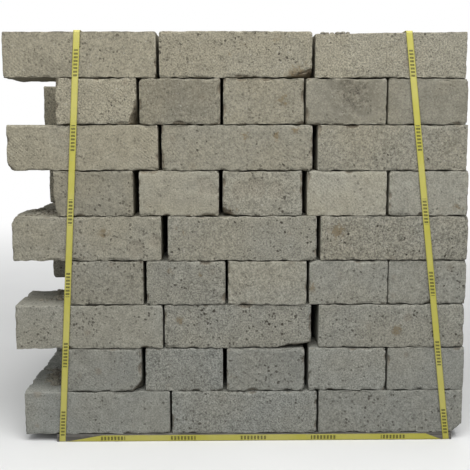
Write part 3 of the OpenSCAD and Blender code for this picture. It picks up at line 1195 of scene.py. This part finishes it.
class STACK_OT_courses(bpy.types.Operator):
    """Wears and lays the tuff blocks, one piece for each course, with the loose crumbs on them"""

    bl_idname = "tuff_stack.courses"
    bl_label = "Tuff courses"

    def execute(self, context):
        looks = context.scene.tuff_stack_stone
        material = tuff_stone(looks)
        for number, node in enumerate(COURSES, 1):
            rng = np.random.default_rng([looks.seed, number])
            parts = [weathered_block(block, number, looks, rng) for block in sorted_blocks(node)]
            starts = np.cumsum([0] + [len(part[0]) for part in parts])
            points = np.concatenate([part[0] for part in parts])
            quads = np.concatenate([part[1] + start for part, start in zip(parts, starts)])
            attributes = {key: np.concatenate([part[2][key] for part in parts]) for key in parts[0][2]}
            piece = make_piece(f"tuff_{node}", points, quads, material, attributes)
            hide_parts(node)
        stone_crumbs(material, looks)
        return {"FINISHED"}


class STACK_OT_straps(bpy.types.Operator):
    """Runs the two upright straps round the stack and the foot strap along the base"""

    bl_idname = "tuff_stack.straps"
    bl_label = "Straps"

    def execute(self, context):
        looks = context.scene.tuff_stack_band
        material = printed_band(looks)
        for name in UPRIGHTS:
            upright_strap(name, material, looks)
        foot_strap(material, looks)
        return {"FINISHED"}


class STACK_OT_board(bpy.types.Operator):
    """Gives the base panel its weathered board"""

    bl_idname = "tuff_stack.board"
    bl_label = "Base panel"

    def execute(self, context):
        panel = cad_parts["base_panel"]
        panel.data.materials.clear()
        panel.data.materials.append(grey_board(context.scene.tuff_stack_board))
        return {"FINISHED"}


class STACK_OT_stage(bpy.types.Operator):
    """Sets the pale floor, the soft light and the camera"""

    bl_idname = "tuff_stack.stage"
    bl_label = "Stage"

    def execute(self, context):
        looks = context.scene.tuff_stack_stage
        self.lay_floor(context.scene, looks)
        for lamp in LAMPS:
            self.hang_lamp(context.scene, *lamp)
        self.light_room(context.scene, looks)
        self.set_camera(context.scene, looks)
        return {"FINISHED"}

    def lay_floor(self, scene, looks):
        """A level square grid at height 0."""
        line = np.linspace(-FLOOR_REACH, FLOOR_REACH, FLOOR_LINES)
        x, y = np.meshgrid(line, line, indexing="ij")
        points = np.stack([x, y, np.zeros_like(x)], axis=2).reshape(-1, 3)
        at = np.arange(x.size).reshape(x.shape)
        quads = np.stack([at[:-1, :-1], at[1:, :-1], at[1:, 1:], at[:-1, 1:]], axis=2).reshape(-1, 4)
        mesh = bpy.data.meshes.new("floor")
        mesh.from_pydata(points.tolist(), [], quads.tolist())
        mesh.materials.append(pale_floor(looks))
        floor = bpy.data.objects.new("floor", mesh)
        scene.collection.objects.link(floor)

    def hang_lamp(self, scene, name, place, aim, size, power):
        """A square soft lamp, turned to its aim."""
        lamp = bpy.data.lights.new(name, "AREA")
        lamp.shape, lamp.size, lamp.energy = "SQUARE", size, power
        light = bpy.data.objects.new(name, lamp)
        light.location = place
        x, y, z = np.array(aim) - np.array(place)
        light.rotation_euler = (math.atan2(math.hypot(x, y), -z), 0, math.atan2(-x, y))
        scene.collection.objects.link(light)

    def light_room(self, scene, looks):
        """Even light from all round, with plain white behind the stack."""
        world = bpy.data.worlds.new("pale_room")
        world.use_nodes = True
        tree = world.node_tree
        shown = tree.nodes["Background"]
        shown.inputs["Color"].default_value = WHITE
        shown.inputs["Strength"].default_value = 1.0
        glow = tree.nodes.new("ShaderNodeBackground")
        glow.inputs["Color"].default_value = SKY_WHITE
        glow.inputs["Strength"].default_value = looks.room_light
        either = tree.nodes.new("ShaderNodeMixShader")
        tree.links.new(tree.nodes.new("ShaderNodeLightPath").outputs["Is Camera Ray"], either.inputs[0])
        tree.links.new(glow.outputs[0], either.inputs[1])
        tree.links.new(shown.outputs[0], either.inputs[2])
        tree.links.new(either.outputs[0], tree.nodes["World Output"].inputs[0])
        scene.world = world
        scene.view_settings.view_transform = "Standard"

    def set_camera(self, scene, looks):
        """A level camera at the eye, turned by the yaw and tipped down by the pitch."""
        lens = bpy.data.cameras.new("front_view")
        lens.lens, lens.sensor_width = looks.focal, SENSOR
        camera = bpy.data.objects.new("front_view", lens)
        camera.location = looks.eye
        camera.rotation_euler = (math.pi / 2 - looks.pitch, 0, -looks.yaw)
        scene.collection.objects.link(camera)
        scene.camera = camera


OPERATORS = (STACK_OT_courses, STACK_OT_straps, STACK_OT_board, STACK_OT_stage)


class STACK_PT_panel(bpy.types.Panel):
    """Lists the steps that dress the stack"""

    bl_label = "Tuff Stack"
    bl_idname = "STACK_PT_panel"
    bl_space_type = "VIEW_3D"
    bl_region_type = "UI"
    bl_category = "Tuff Stack"

    def draw(self, context):
        for step in OPERATORS:
            self.layout.operator(step.bl_idname)


SETTINGS = {
    "tuff_stack_stone": TuffSettings,
    "tuff_stack_band": BandSettings,
    "tuff_stack_board": BoardSettings,
    "tuff_stack_stage": StageSettings,
}


def register():
    for kind in (*SETTINGS.values(), *OPERATORS, STACK_PT_panel):
        bpy.utils.register_class(kind)
    for key, kind in SETTINGS.items():
        setattr(bpy.types.Scene, key, PointerProperty(type=kind))


def unregister():
    for key in SETTINGS:
        delattr(bpy.types.Scene, key)
    for kind in (STACK_PT_panel, *reversed(OPERATORS), *reversed(SETTINGS.values())):
        bpy.utils.unregister_class(kind)


def main():
    register()
    bpy.ops.tuff_stack.courses()
    bpy.ops.tuff_stack.straps()
    bpy.ops.tuff_stack.board()
    bpy.ops.tuff_stack.stage()


if __name__ == "__main__":
    main()
